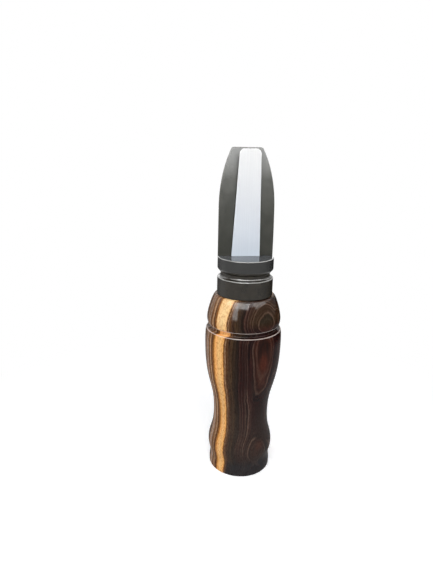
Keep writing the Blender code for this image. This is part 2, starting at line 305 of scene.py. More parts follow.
def barrel_outside():
    """The barrel's turned outside, from the foot up to the lip round the collar."""
    shoulder_radius = BELLY_RADIUS - SHOULDER_INSET
    crown_foot_radius = CROWN_RADIUS - CROWN_UNDERCUT
    groove_radius = crown_foot_radius - LANYARD_GROOVE_DEPTH
    belly = (BELLY_RADIUS, SHOULDER - BELLY_DROP)
    crown = (CROWN_RADIUS, CROWN_FOOT + CROWN_RISE)
    points = rounded((0.0, 0.0), (FOOT_RADIUS, 0.0), FOOT, FOOT_EDGE)
    points += eased(FOOT, NECK, *NECK_EASE)
    points += eased(NECK, BEAD, *BEAD_EASE)[1:]
    points += eased(BEAD, WAIST, *WAIST_EASE)[1:]
    points += eased(WAIST, belly, *BELLY_EASE)[1:]
    edge = (shoulder_radius, SHOULDER)
    belly_side = eased(belly, edge, *SHOULDER_EASE)
    points += [point for point in belly_side[1:] if point[1] < SHOULDER - SHOULDER_ROUND]
    inner = (groove_radius, SHOULDER)
    roof = (groove_radius, CROWN_FOOT - CROWN_SLOPE)
    crown_foot = (crown_foot_radius, CROWN_FOOT)
    crown_side = eased(crown_foot, crown, *CROWN_EASE)
    points += rounded(points[-1], edge, inner, SHOULDER_ROUND)
    points += rounded(edge, inner, roof, GROOVE_ROUND)
    points += rounded(inner, roof, crown_foot, GROOVE_ROUND)
    points += rounded(roof, crown_foot, crown_side[2], CROWN_FOOT_ROUND)
    points += [point for point in crown_side if point[1] > CROWN_FOOT + CROWN_FOOT_ROUND]
    lip = (COLLAR_RADIUS + LIP_WIDTH, BARREL_LENGTH)
    rise = lip[1] - crown[1]
    fall = crown[0] - lip[0]
    upright = (crown[0], crown[1] + LIP_UPRIGHT * rise)
    level = (lip[0] + LIP_LEVEL * fall, lip[1])
    points += curve(crown, upright, level, lip)[1:]
    return points


def barrel_inside():
    """The barrel's bore, from the seat down to the bell's rim."""
    rim = (FOOT_RADIUS - BELL_RIM, 0.0)
    bell = eased(rim, (BORE_RADIUS, BELL_DEPTH), *BELL_EASE)
    bell.reverse()
    seat = (BORE_RADIUS + BORE_CHAMFER, BARREL_LENGTH)
    mouth = rounded((BELLY_RADIUS, BARREL_LENGTH), seat, (BORE_RADIUS, BARREL_LENGTH - BORE_CHAMFER), LIP_ROUND)
    mouth.append((BORE_RADIUS, BARREL_LENGTH - BORE_CHAMFER))
    edge = rounded(bell[-2], rim, (FOOT_RADIUS, 0.0), LIP_ROUND)
    inside = [point for point in bell if point[1] > 2 * LIP_ROUND]
    return mouth + inside + edge


def make_barrel(wood):
    """Turned hardwood barrel, bored right through."""
    outline = barrel_outside() + barrel_inside()
    rows = [ring_row(radius, height, TURN_STEPS) for radius, height in outline]
    points, faces = joined_rows(rows, closed=True)
    piece = mesh_piece("turned_barrel", points, faces, wood, "barrel", "dark_hardwood", "barrel")
    smooth_flats(piece)


# Insert

def nose_radius(height):
    """Radius of the insert above its ring: a straight rod that rounds in to the tip."""
    fall = COLLAR_RADIUS - TIP_RADIUS - NOSE_FULLNESS
    arc = (NOSE_LENGTH ** 2 + fall ** 2) / (2 * fall)
    rise = max(0.0, height - TIP + NOSE_LENGTH)
    return COLLAR_RADIUS - arc + math.sqrt(arc ** 2 - rise ** 2)


def face_depth(height):
    """Depth of the toneboard's face behind the axis: flat, then rolling back to the tip on one arc."""
    arc = (FACE_CURVE_LENGTH ** 2 + FACE_CURVE_DROP ** 2) / (2 * FACE_CURVE_DROP)
    rise = max(0.0, height - TIP + FACE_CURVE_LENGTH)
    return FACE_SETBACK + arc - math.sqrt(arc ** 2 - rise ** 2)


def spread(start, end, count):
    """Evenly spaced numbers, both ends included."""
    return [start + (end - start) * step / (count - 1) for step in range(count)]


def section_angles():
    """Angles round the axis where the points of a round row lie: front, right corner, back, left corner."""
    corner = math.asin(FACE_SETBACK / COLLAR_RADIUS)
    width = FACE_ROUND / COLLAR_RADIUS
    front = spread(-math.pi - corner, corner, FACE_POINTS)
    right = spread(corner, corner + 2 * width, CORNER_POINTS + 2)[1:-1]
    back = spread(corner + 2 * width, math.pi - corner - 2 * width, BACK_POINTS)
    left = spread(math.pi - corner - 2 * width, math.pi - corner, CORNER_POINTS + 2)[1:-1]
    return front, right + back + left


def round_row(radius, height, front_inset=0.0, front_height=None):
    """A full round of the insert; the ledge's edge draws its front in."""
    front, rest = section_angles()
    row = []
    for angle in front:
        away = abs(angle + math.pi / 2) / (math.pi / 2)
        share = min(1.0, max(0.0, (LEDGE_ROUND_END - away) / LEDGE_ROUND_FADE))
        drawn = radius - front_inset * share
        level = height if front_height is None else height + (front_height - height) * share
        row.append((drawn * math.cos(angle), drawn * math.sin(angle), level))
    row += [(radius * math.cos(angle), radius * math.sin(angle), height) for angle in rest]
    return row


def paddle_row(height, inset=0.0):
    """A section of the paddle: its face in front, rounded corners and the rod's arc behind."""
    radius = nose_radius(height) - inset
    face = face_depth(height) + inset
    corner = FACE_ROUND
    centre_x = math.sqrt((radius - corner) ** 2 - (face + corner) ** 2)
    side = math.atan2(face + corner, centre_x)
    row = [(x, face, height) for x in spread(-centre_x, centre_x, FACE_POINTS)]
    turn = spread(-math.pi / 2, side, CORNER_POINTS + 2)[1:-1]
    right = [(centre_x + corner * math.cos(a), face + corner + corner * math.sin(a), height) for a in turn]
    back = [(radius * math.cos(a), radius * math.sin(a), height) for a in spread(side, math.pi - side, BACK_POINTS)]
    left = [(-x, y, z) for x, y, z in reversed(right)]
    return row + right + back + left


def stem_outline():
    """The stem's outline from the air bore's roof, down inside, and up outside to the collar's shoulder."""
    foot = SEAT - STEM_LENGTH
    corners = [(AIR_BORE_RADIUS, AIR_BORE_TOP, 0), (AIR_BORE_RADIUS, foot, STEM_ROUND),
               (STEM_RADIUS - STEM_CHAMFER, foot, STEM_ROUND), (STEM_RADIUS, foot + STEM_CHAMFER, STEM_ROUND)]
    half = O_RING_GROOVE_WIDTH / 2
    for height in sorted(O_RING_HEIGHTS.values()):
        corners += [(STEM_RADIUS, height - half, STEM_ROUND), (O_RING_GROOVE_RADIUS, height - half, STEM_ROUND),
                    (O_RING_GROOVE_RADIUS, height + half, STEM_ROUND), (STEM_RADIUS, height + half, STEM_ROUND)]
    return corners + [(STEM_RADIUS, SEAT, STEM_ROUND)]


def insert_outline():
    """The insert's turned outline up to the foot of the ledge's rounding; the groove's lower flank is hollow."""
    slope = (V_GROOVE_WIDTH - V_GROOVE_FLOOR) / 2
    floor = COLLAR_RADIUS - V_GROOVE_DEPTH
    corners = stem_outline()
    corners += [(COLLAR_RADIUS, SEAT, STEM_ROUND), (COLLAR_RADIUS, COLLAR_TOP, COLLAR_ROUND),
                (floor, COLLAR_TOP + V_HOLLOW_FOOT, V_HOLLOW_ROUND), (floor, RING_FOOT - slope, V_FLOOR_ROUND),
                (COLLAR_RADIUS, RING_FOOT, RING_FOOT_ROUND), (COLLAR_RADIUS, LEDGE - LEDGE_ROUND, 0)]
    return round_corners(corners)


def toneboard_rows():
    """Rows of points from the air bore's roof down the bore, up the outside and on to the tip."""
    rows = [round_row(radius, height) for radius, height in insert_outline()]
    for angle in spread(0.0, math.pi / 2, ROUND_STEPS + 1)[1:]:
        inset = LEDGE_ROUND * (1 - math.cos(angle))
        level = LEDGE - LEDGE_ROUND * (1 - math.sin(angle))
        rows.append(round_row(COLLAR_RADIUS, LEDGE - LEDGE_ROUND * math.cos(angle), inset, level))
    top = TIP - TIP_ROUND
    rows += [paddle_row(height) for height in spread(LEDGE, top, PADDLE_ROWS)]
    for angle in spread(0.0, math.pi / 2, ROUND_STEPS + 1)[1:]:
        rows.append(paddle_row(top + TIP_ROUND * math.sin(angle), TIP_ROUND * (1 - math.cos(angle))))
    return rows


def prism(near, far):
    """Points and faces of a solid between two like outlines."""
    count = len(near)
    faces = [tuple(range(count)), tuple(range(2 * count - 1, count - 1, -1))]
    faces += [(at, at + count, (at + 1) % count + count, (at + 1) % count) for at in range(count)]
    return near + far, faces


def channel_solid():
    """The air channel under the reed, rounded at the tip end and open into the air bore."""
    half = CHANNEL_WIDTH / 2
    foot = AIR_BORE_TOP - CHANNEL_OVERLAP
    centre = TIP - CHANNEL_TIP_STOP - half
    outline = [(-half, foot), (half, foot)]
    outline += [(half * math.cos(a), centre + half * math.sin(a)) for a in spread(0.0, math.pi, CURVE_STEPS)]
    floor = FACE_SETBACK + CHANNEL_DEPTH
    return prism([(x, WEDGE_BACK, z) for x, z in outline], [(x, floor, z) for x, z in outline])


def wedge_front(height):
    """Depth of the wedge's sloping front, thin at the slot's floor and thick at the ledge."""
    share = (height - SLOT_FLOOR) / (LEDGE - SLOT_FLOOR)
    return WEDGE_BACK - WEDGE_FOOT - share * (WEDGE_TOP - WEDGE_FOOT)


def slot_solid():
    """The slot down through the ring for the reed's tail and its wedge."""
    top = LEDGE + CUT_MARGIN
    back = FACE_SETBACK + REED_GAP
    lip = FACE_SETBACK - REED_GAP / 2
    outline = [(wedge_front(SLOT_FLOOR) - WEDGE_FIT, SLOT_FLOOR), (back, SLOT_FLOOR), (back, LEDGE),
               (lip, LEDGE + REED_GAP / 2), (lip, top), (wedge_front(top) - WEDGE_FIT, top)]
    half = REED_BASE_WIDTH / 2 + REED_GAP
    return prism([(half, y, z) for y, z in outline], [(-half, y, z) for y, z in outline])


def cut_out(piece, *solids):
    """Cut solids out of a piece for good."""
    for points, faces in solids:
        cutter = add_mesh("cutter", points, faces)
        boolean = piece.modifiers.new("cut", "BOOLEAN")
        boolean.operation = "DIFFERENCE"
        boolean.solver = "EXACT"
        boolean.object = cutter
        bpy.context.view_layer.update()
        whole = piece.evaluated_get(bpy.context.evaluated_depsgraph_get())
        made = bpy.data.meshes.new_from_object(whole)
        piece.modifiers.remove(boolean)
        piece.data = made
        bpy.data.objects.remove(cutter)


def make_toneboard(black):
    """Black insert turned from one rod, with its face, air channel and reed slot cut into it."""
    points, faces = joined_rows(toneboard_rows(), closed=False)
    piece = mesh_piece("milled_toneboard", points, faces, black, None, "black_acetal")
    cut_out(piece, channel_solid(), slot_solid())
    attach(piece, "insert")
    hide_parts("toneboard")
    smooth_flats(piece)


def make_wedge(black):
    """Tapered keeper, flush with the ledge, that holds the reed's tail in its slot."""
    foot = SLOT_FLOOR + REED_GAP
    back = WEDGE_BACK + WEDGE_REACH
    outline = [(back, foot), (back, LEDGE), (wedge_front(LEDGE), LEDGE), (wedge_front(foot), foot)]
    half = REED_BASE_WIDTH / 2 + REED_GAP - WEDGE_FIT
    points, faces = prism([(half, y, z) for y, z in outline], [(-half, y, z) for y, z in outline])
    piece = mesh_piece("pressed_wedge", points, faces, black, "insert", "black_keeper", "reed_wedge")
    bevel = piece.modifiers.new("edges", "BEVEL")
    bevel.width = WEDGE_ROUND
    bevel.segments = WEDGE_EDGE_STEPS
    smooth_flats(piece)


def make_o_rings(rubber):
    """Two rubber rings that carry the stem in the bore."""
    for node, height in O_RING_HEIGHTS.items():
        half = O_RING_SECTION / 2
        section = [2 * math.pi * side / RING_SIDES for side in range(RING_SIDES)]
        rows = [ring_row(O_RING_RADIUS + half * math.cos(a), height + half * math.sin(a), RING_STEPS)
                for a in section]
        points, faces = joined_rows(rows, closed=True)
        mesh_piece("moulded_" + node, points, faces, rubber, "o_rings", "black_rubber", node)


# Reed

def reed_sides(height):
    """Left and right edge of the reed at a height above its pivot."""
    ledge = REED_TAIL / 2
    tip = TIP - REED_TIP_SETBACK - REED_PIVOT.z
    share = max(0.0, (height - ledge) / (tip - ledge))
    half = REED_BASE_WIDTH / 2 + share * (REED_TIP_WIDTH - REED_BASE_WIDTH) / 2
    centre = share * REED_TIP_SHIFT
    into_corner = max(0.0, height - tip + REED_CORNER)
    drawn = REED_CORNER - math.sqrt(max(0.0, REED_CORNER ** 2 - into_corner ** 2))
    return centre - half + drawn, centre + half - drawn


def reed_section(height, inset, edge_inset):
    """Points round the reed at a height: its front, an edge, its back and the other edge."""
    left, right = reed_sides(height)
    left += edge_inset
    right -= edge_inset
    half = REED_THICKNESS / 2 - inset
    edge = min(REED_ROUND, half)
    across = spread(left + edge, right - edge, REED_COLUMNS)
    turn = spread(-math.pi / 2, 0.0, REED_EDGE_POINTS)[1:]
    front_right = [(right - edge + edge * math.cos(a), -half + edge + edge * math.sin(a)) for a in turn]
    back_right = [(x, -y) for x, y in reversed(front_right)]
    right_side = front_right + back_right
    left_side = [(left + right - x, y) for x, y in reversed(right_side)]
    front = [(x, -half) for x in across]
    back = [(x, half) for x in reversed(across)]
    return [Vector((x, y, height)) for x, y in front + right_side + back + left_side]


def make_reed(film):
    """White reed, straight in its slot and tapered above the ledge to a rounded tip."""
    tail = -REED_TAIL / 2
    tip = TIP - REED_TIP_SETBACK - REED_PIVOT.z
    straight = spread(tail + REED_ROUND, tip - REED_CORNER, REED_ROWS)
    turn = spread(0.0, math.pi / 2, REED_CORNER_ROWS)
    corner = [tip - REED_CORNER + (REED_CORNER - REED_ROUND) * math.sin(a) for a in turn]
    turn = spread(0.0, math.pi / 2, REED_EDGE_POINTS)
    rounds = [(REED_ROUND * math.sin(a), REED_ROUND * (1 - math.cos(a))) for a in turn]
    rows = [reed_section(tail + REED_ROUND - rise, drop, drop) for rise, drop in reversed(rounds[1:])]
    rows += [reed_section(height, 0.0, 0.0) for height in straight + corner[1:]]
    rows += [reed_section(tip - REED_ROUND + rise, drop, 0.0) for rise, drop in rounds[1:]]
    lean = Matrix.Translation(REED_PIVOT) @ Matrix.Rotation(REED_LEAN, 4, "X")
    points, faces = joined_rows(rows, closed=False)
    piece = mesh_piece("film_reed", [lean @ point for point in points], faces, film, None, "white_film")
    add_length_map(piece, points, tail, tip)
    piece.data.set_sharp_from_angle(angle=SHARP_ANGLE)
    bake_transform(piece)
    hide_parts("reed")


def add_length_map(piece, points, tail, tip):
    """A UV map that runs across the reed and from its tail to its tip, so that the finish bends with it."""
    layer = piece.data.uv_layers.new(name="length")
    for loop in piece.data.loops:
        point = points[loop.vertex_index]
        layer.data[loop.index].uv = (0.5 + point.x / REED_BASE_WIDTH, (point.z - tail) / (tip - tail))


# Materials

class Graph:
    """The nodes of a new material or world, written as plain calls."""

    def __init__(self, name, owners=bpy.data.materials):
        self.owner = owners.new(name)
        self.owner.use_nodes = True
        self.nodes = self.owner.node_tree.nodes
        self.links = self.owner.node_tree.links
        self.shader = self.nodes.get("Principled BSDF")

    def put(self, socket, value):
        """Link or set one input."""
        if isinstance(value, bpy.types.NodeSocket):
            self.links.new(value, socket)
        else:
            socket.default_value = value

    def set(self, **values):
        """Inputs of the shader, with underscores for spaces."""
        for name, value in values.items():
            self.put(self.shader.inputs[name.replace("_", " ")], value)

    def node(self, kind, *values, **settings):
        """A node with its settings and first inputs."""
        node = self.nodes.new("ShaderNode" + kind)
        for name, setting in settings.items():
            setattr(node, name, setting)
        for socket, value in zip(node.inputs, values):
            self.put(socket, value)
        return node

    def place(self):
        """Place on the piece in millimetres of the row frame."""
        return self.vector("MULTIPLY", self.node("TexCoord").outputs["Object"], (1000.0, 1000.0, 1000.0))

    def vector(self, operation, *values):
        """One reckoning with vectors."""
        measured = operation in ("DOT_PRODUCT", "LENGTH")
        return self.node("VectorMath", *values, operation=operation).outputs["Value" if measured else "Vector"]

    def split(self, vector):
        """X, Y and Z of a vector."""
        return self.node("SeparateXYZ", vector).outputs

    def join(self, *values):
        """A vector of X, Y and Z."""
        return self.node("CombineXYZ", *values).outputs[0]

    def math(self, operation, *values):
        """One reckoning with numbers."""
        return self.node("Math", *values, operation=operation).outputs[0]

    def span(self, value, low, high, start=0.0, end=1.0):
        """Map low to high onto start to end, smoothly and clamped."""
        return self.node("MapRange", value, low, high, start, end, interpolation_type="SMOOTHSTEP").outputs[0]

    def band(self, value, middle, half_width, soft):
        """One within half_width of middle, falling to nothing over soft."""
        away = self.math("ABSOLUTE", self.math("SUBTRACT", value, middle))
        return self.span(away, half_width, half_width + soft, 1.0, 0.0)

    def noise(self, place, stretch, detail=2.0, roughness=0.5):
        """Noise between 0 and 1, with stretch cycles for each millimetre along X, Y and Z."""
        node = self.node("TexNoise", self.vector("MULTIPLY", place, stretch))
        for name, value in (("Scale", 1.0), ("Detail", detail), ("Roughness", roughness)):
            node.inputs[name].default_value = value
        return node.outputs["Fac"]

    def ramp(self, value, stops, interpolation="LINEAR"):
        """A colour ramp of (position, colour) stops."""
        node = self.node("ValToRGB", value)
        node.color_ramp.interpolation = interpolation
        elements = node.color_ramp.elements
        while len(elements) < len(stops):
            elements.new(1.0)
        for element, (position, colour) in zip(elements, stops):
            element.position = position
            element.color = colour
        return node.outputs["Color"]

    def times(self, first, *others):
        """A product."""
        for other in others:
            first = self.math("MULTIPLY", first, other)
        return first

    def plus(self, first, *others):
        """A sum."""
        for other in others:
            first = self.math("ADD", first, other)
        return first

    def less(self, value):
        """What a share leaves of one."""
        return self.math("SUBTRACT", 1.0, value)

    def radius(self, place):
        """Distance from the turning axis."""
        return self.vector("LENGTH", self.vector("MULTIPLY", place, (1.0, 1.0, 0.0)))

    def mix(self, factor, first, second, blend="MIX"):
        """Two colours, blended by a factor."""
        node = self.node("Mix", factor, data_type="RGBA", blend_type=blend)
        self.put(node.inputs[6], first)
        self.put(node.inputs[7], second)
        return node.outputs[2]

    def bump(self, height, strength, distance):
        """A normal that fine relief disturbs."""
        node = self.node("Bump", strength, distance)
        self.put(node.inputs["Height"], height)
        return node.outputs["Normal"]

    def background_rays(self):
        """One for the rays that show the background: straight from the camera, mirrored or through glass."""
        path = self.node("LightPath").outputs
        seen = self.math("MAXIMUM", path["Is Camera Ray"], path["Is Glossy Ray"])
        return self.math("MAXIMUM", seen, path["Is Transmission Ray"])

    def blend(self, factor, first, second):
        """Two shaders, blended by a factor, as the surface of the material."""
        node = self.node("MixShader", factor, first.outputs[0], second.outputs[0])
        self.links.new(node.outputs[0], self.nodes["Material Output"].inputs["Surface"])


# Growth layers of the blank: their normal, the way along them, and how far the pale stripe's middle is from the axis
LAYER_NORMAL = (0.3907, -0.9205, 0.0)
LAYER_SIDE = (0.9205, 0.3907, 0.0)
STRIPE_OFFSET = 5.45
# The layers that the ends of the ramps stand for
LAYER_LOW = -21.5
LAYER_HIGH = 10.5
# Heights in millimetres: parts of the barrel, and the belly's band and the crown's span for the figure
BARREL_HEIGHT = BARREL_LENGTH / MM
CROWN_START = CROWN_FOOT / MM
SHOULDER_END = SHOULDER / MM
WAIST_MIDDLE = WAIST[1] / MM
BELLY_BAND = (51.0, 8.0, 5.0)
CROWN_WOOD = (CROWN_START + 1.0, CROWN_START + 5.0)

# How far the layers sink towards the bell: height and drop in millimetres, and the span that lessens it on the left
LAYER_SINK = ((0.0, 1.8), (11.0, 1.4), (16.0, 1.8), (24.0, 2.45), (32.0, 2.1), (37.0, 1.4), (44.0, 0.5), (51.0, 0.0))
SINK_SCALE = 3.0
SINK_LEFT = (-3.2, -0.6, 0.3 * SINK_SCALE, SINK_SCALE)
# How much further the dark layers sink below the belly, and the pale ones in it
DARK_HEIGHTS = (44.0, 34.0, 0.0, 0.45)
DARK_LAYERS = (3.0, 5.0)
PALE_LAYERS = (2.5, 4.0, 0.25, 0.0)
# How the layers waver: cycles for each millimetre, detail, reach in millimetres; only the pale ones fray
SWAY = ((0.09, 0.09, 0.05), 1.0, 0.5)
RIPPLE = ((0.5, 0.5, 0.14), 2.0, 0.3)
FRAY = ((2.5, 2.5, 0.9), 2.0, 0.45)
FRAY_LAYERS = (3.0, 5.0, 1.0, 0.0)
# How the layers curl back at their right-hand end: from where along them, and how much for each square millimetre
CURL_START = 5.0
LAYER_CURL = 0.12
# How the layers lean in the crown, for each millimetre along them and up
CROWN_ALONG = 0.1
CROWN_UP = 0.11
CROWN_LEAN_LAYERS = (3.0, 6.0)

WOODS = {
    "black": "281b11", "olive": "543e26", "umber": "60432a", "maroon": "2e0502", "russet": "401d10",
    "brown": "a07246", "rust": "c48040", "taupe": "c6b0a0", "tan": "e8bc8e", "amber": "ec9f48",
    "gold": "ffbe6e", "pale": "ffd18a",
}
# Woods through the layers, by millimetres from the middle of the pale stripe; a ramp holds 32 at most
LAYERS = (
    (-21.0, "russet"), (-18.6, "brown"), (-17.0, "black"), (-15.2, "brown"), (-13.4, "umber"), (-11.4, "taupe"),
    (-9.8, "umber"), (-8.4, "taupe"), (-7.4, "tan"), (-6.6, "taupe"), (-5.7, "brown"), (-5.2, "brown"), (-4.8, "tan"),
    (-4.3, "tan"), (-3.9, "brown"), (-3.5, "umber"), (-3.2, "brown"), (-2.6, "rust"), (-2.3, "amber"), (-1.5, "gold"),
    (0.6, "pale"), (2.1, "gold"), (2.35, "rust"), (2.55, "umber"), (2.85, "tan"), (3.25, "brown"), (3.7, "umber"),
    (4.5, "olive"), (6.2, "black"), (7.2, "maroon"), (9.2, "maroon"), (9.6, "russet"),
)
# Noise that shades the heartwood, across the figure and lengthwise: cycles, detail, roughness and ramp of colours
BANDS = ((1.7, 0.05, 0.02), 3.0, 0.6, ((0.3, "8c8078"), (0.62, "ffffff")))
STREAKS = ((2.6, 2.6, 0.12), 3.0, 0.6, ((0.3, "b0a8a2"), (0.7, "ffffff")))
# Span from the stripe, which keeps a little of that shading, to the heartwood
HEARTWOOD = (1.9, 2.6, 0.15, 1.0)
# Thin pale growth lines in the dark wood, outside and inside the figure's rings: place, half width and strength
OUTER_LINES = (
    (6.85, 0.06, 0.45), (7.1, 0.04, 0.26), (7.3, 0.03, 0.2), (7.47, 0.05, 0.42), (7.64, 0.03, 0.2), (7.82, 0.055, 0.5),
    (7.98, 0.03, 0.2), (8.15, 0.05, 0.42), (8.33, 0.03, 0.22), (8.52, 0.055, 0.52),
)
INNER_LINES = (
    (8.8, 0.035, 0.22), (9.06, 0.045, 0.34), (9.36, 0.05, 0.42), (9.57, 0.03, 0.28), (9.76, 0.025, 0.26),
    (9.93, 0.022, 0.22),
)
# Reddish flames where the surface runs along the layers: middle in millimetres, reach across and along, strength
FLAMES = (
    ((6.0, -14.2, 52.5), 2.7, 6.2, 0.55),
    ((6.4, -11.4, 14.0), 3.4, 3.2, 0.4),
)
FLAME_COLOUR = "7c3a22"
FLAME_CORE = 0.1
# Tints of the dark wood at the waist, the foot and the crown: layers and heights where each comes in, strength, colour
TINTS = (
    ((2.4, 3.4), (40.0, 16.0), 0.45, "423b36"), ((2.4, 3.4), (8.5, 4.5), 0.7, "26292d"),
    ((6.8, 8.6), CROWN_WOOD, 0.55, "40301c"), ((9.3, 9.6), CROWN_WOOD, 0.8, "221d10"),
)
# Faint threads between the growth lines: cycles, detail, half width, and spans of layers where they grow and end
THREADS = ((2.4, 0.03, 0.02), 2.0, 0.07)
THREADS_GROW = (3.5, 7.0, 0.05, 0.08)
THREADS_END = (9.0, 9.5, 1.0, 0.0)
# Their colour and where it changes: spans by low, high, start, end; bands by middle, half width, softness
LINE_COLOUR = "8e7262"
PATCHES = ((0.25, 0.25, 0.06), 1.0)
PATCHY = (0.3, 0.65, 0.5, 1.0)
CROWN_GAIN = 0.5
CROWN_CLEAR = (9.46, 9.6)
WAIST_CLEAR = (WAIST_MIDDLE, 8.0, 8.0)
WAIST_SIDE = (-1.0, 1.0)
WAIST_LINES = (WAIST_MIDDLE, 9.0, 6.0)
WAIST_GAIN = 0.35
FOOT_LINES = (8.0, 13.0, 0.25, 1.0)
BELLY_FAINT = (9.0, 9.4, 0.5, 0.0)
KNOT_HEIGHTS = (20.0, 17.0)
KNOT_FAINT = (9.45, 9.55, 0.0, 0.65)
# Sapwood, with painted sheen that pales it in the crown; painted shade that makes the wood below the belly a little
# darker; pores, and painted highlights on both edges of the lanyard groove
SAPWOOD = (1.9, 2.4, 1.0, 0.0)
STRIPE_SHEEN_HEIGHTS = (61.0, 70.0, 0.0, 0.5)
STRIPE_SHEEN_COLOUR = "ffe8b4"
LOWER_SHADE_HEIGHTS = (45.0, 36.0)
LOWER_SHADE_COLOUR = "f4f4f4"
PORES = ((3.6, 3.6, 0.8), 2.0, 0.7)
PORE_DARK = (0.47, 0.64, 0.0, 0.6)
PORE_ROUGH = (0.4, 0.75, 0.22, 0.4)
PORE_COLOUR = "b86c18"
HIGHLIGHT_SHARE = 0.6
GROOVE_HIGHLIGHT_COLOUR = "ecdcd2"


def layer_share(layer):
    """Where a layer lies on the ramps."""
    return (layer - LAYER_LOW) / (LAYER_HIGH - LAYER_LOW)


def grey(value):
    """A colour of one value."""
    return (value, value, value, 1.0)


def line_stops(lines):
    """Ramp stops that are bright at each growth line."""
    stops = []
    for middle, half, strength in lines:
        stops += [(layer_share(middle - half), grey(0.0)), (layer_share(middle), grey(strength)),
                  (layer_share(middle + half), grey(0.0))]
    return stops


def waver(g, place, stretch, detail, reach):
    """Noise about nothing, with a reach in millimetres."""
    return g.times(g.math("SUBTRACT", g.noise(place, stretch, detail), 0.5), reach)


def layer_place(g, place, side, height):
    """Millimetres through the layers from the pale stripe's middle."""
    flat = g.math("SUBTRACT", g.vector("DOT_PRODUCT", place, LAYER_NORMAL), STRIPE_OFFSET)
    stops = [(at / BARREL_HEIGHT, grey(drop / SINK_SCALE)) for at, drop in LAYER_SINK]
    sink = g.ramp(g.math("DIVIDE", height, BARREL_HEIGHT), stops, "CARDINAL")
    sink = g.times(sink, g.span(flat, *SINK_LEFT))
    dark = g.times(g.span(height, *DARK_HEIGHTS), g.span(flat, *DARK_LAYERS))
    pale = g.times(in_belly(g, height), g.span(flat, *PALE_LAYERS))
    fray = g.times(waver(g, place, *FRAY), g.span(flat, *FRAY_LAYERS))
    drift = g.plus(waver(g, place, *SWAY), waver(g, place, *RIPPLE), fray)
    along = g.math("MAXIMUM", g.math("SUBTRACT", side, CURL_START), 0.0)
    curl = g.times(g.math("POWER", along, 2.0), LAYER_CURL)
    rise = g.times(g.math("SUBTRACT", height, CROWN_START), CROWN_UP)
    lean = g.plus(g.times(side, CROWN_ALONG), rise)
    lean = g.times(lean, in_crown(g, height), g.span(flat, *CROWN_LEAN_LAYERS))
    return g.plus(flat, sink, dark, pale, drift, curl, lean)


def in_belly(g, height):
    """One in the belly, falling to nothing at the waist and the shoulder."""
    return g.band(height, *BELLY_BAND)


def in_crown(g, height):
    """One in the crown, falling to nothing across the lanyard groove."""
    return g.span(height, SHOULDER_END - 1.0, CROWN_START + 1.0)


def shading(g, value, stops):
    """A ramp of colours written as hex digits."""
    return g.ramp(value, [(at, srgb(code)) for at, code in stops])


def wood_colour(g, place, figure, share, height, layer):
    """The layers' colours, shaded by bands and streaks, with flames and tints."""
    colour = g.ramp(share, [(layer_share(at), srgb(WOODS[wood])) for at, wood in LAYERS])
    heartwood = g.span(g.math("ABSOLUTE", layer), *HEARTWOOD)
    bands = g.noise(figure, *BANDS[:3])
    colour = g.mix(heartwood, colour, shading(g, bands, BANDS[3]), "MULTIPLY")
    streaks = g.noise(place, *STREAKS[:3])
    colour = g.mix(heartwood, colour, shading(g, streaks, STREAKS[3]), "MULTIPLY")
    for middle, across, length, strength in FLAMES:
        reach = g.vector("DIVIDE", g.vector("SUBTRACT", place, middle), (across, across, length))
        flame = g.times(g.span(g.vector("LENGTH", reach), FLAME_CORE, 1.0, strength, 0.0), streaks)
        colour = g.mix(flame, colour, srgb(FLAME_COLOUR))
    for layers, heights, strength, tint in TINTS:
        reach = g.times(g.span(layer, *layers), g.span(height, *heights, 0.0, strength))
        colour = g.mix(reach, colour, srgb(tint))
    return colour


def growth_lines(g, place, figure, side, share, height, layer):
    """How strongly the thin pale lines show."""
    stretch, detail, half = THREADS
    threads = g.band(g.noise(figure, stretch, detail), 0.5, 0.0, half)
    threads = g.times(threads, g.span(layer, *THREADS_GROW), g.span(layer, *THREADS_END))
    lines = g.math("MAXIMUM", g.ramp(share, line_stops(OUTER_LINES)), g.ramp(share, line_stops(INNER_LINES)))
    crown = g.math("MULTIPLY_ADD", g.span(height, *CROWN_WOOD), CROWN_GAIN, 1.0)
    clear = g.times(in_crown(g, height), g.span(layer, *CROWN_CLEAR))
    return g.times(
        g.math("MAXIMUM", lines, threads),
        g.math("SUBTRACT", crown, clear),
        g.span(g.noise(place, *PATCHES), *PATCHY),
        g.less(g.times(g.band(height, *WAIST_CLEAR), g.span(side, *WAIST_SIDE))),
        g.span(height, *FOOT_LINES),
        g.math("MULTIPLY_ADD", g.band(height, *WAIST_LINES), WAIST_GAIN, 1.0),
        g.less(g.times(in_belly(g, height), g.span(layer, *BELLY_FAINT))),
        g.less(g.times(g.span(height, *KNOT_HEIGHTS), g.span(layer, *KNOT_FAINT))),
    )


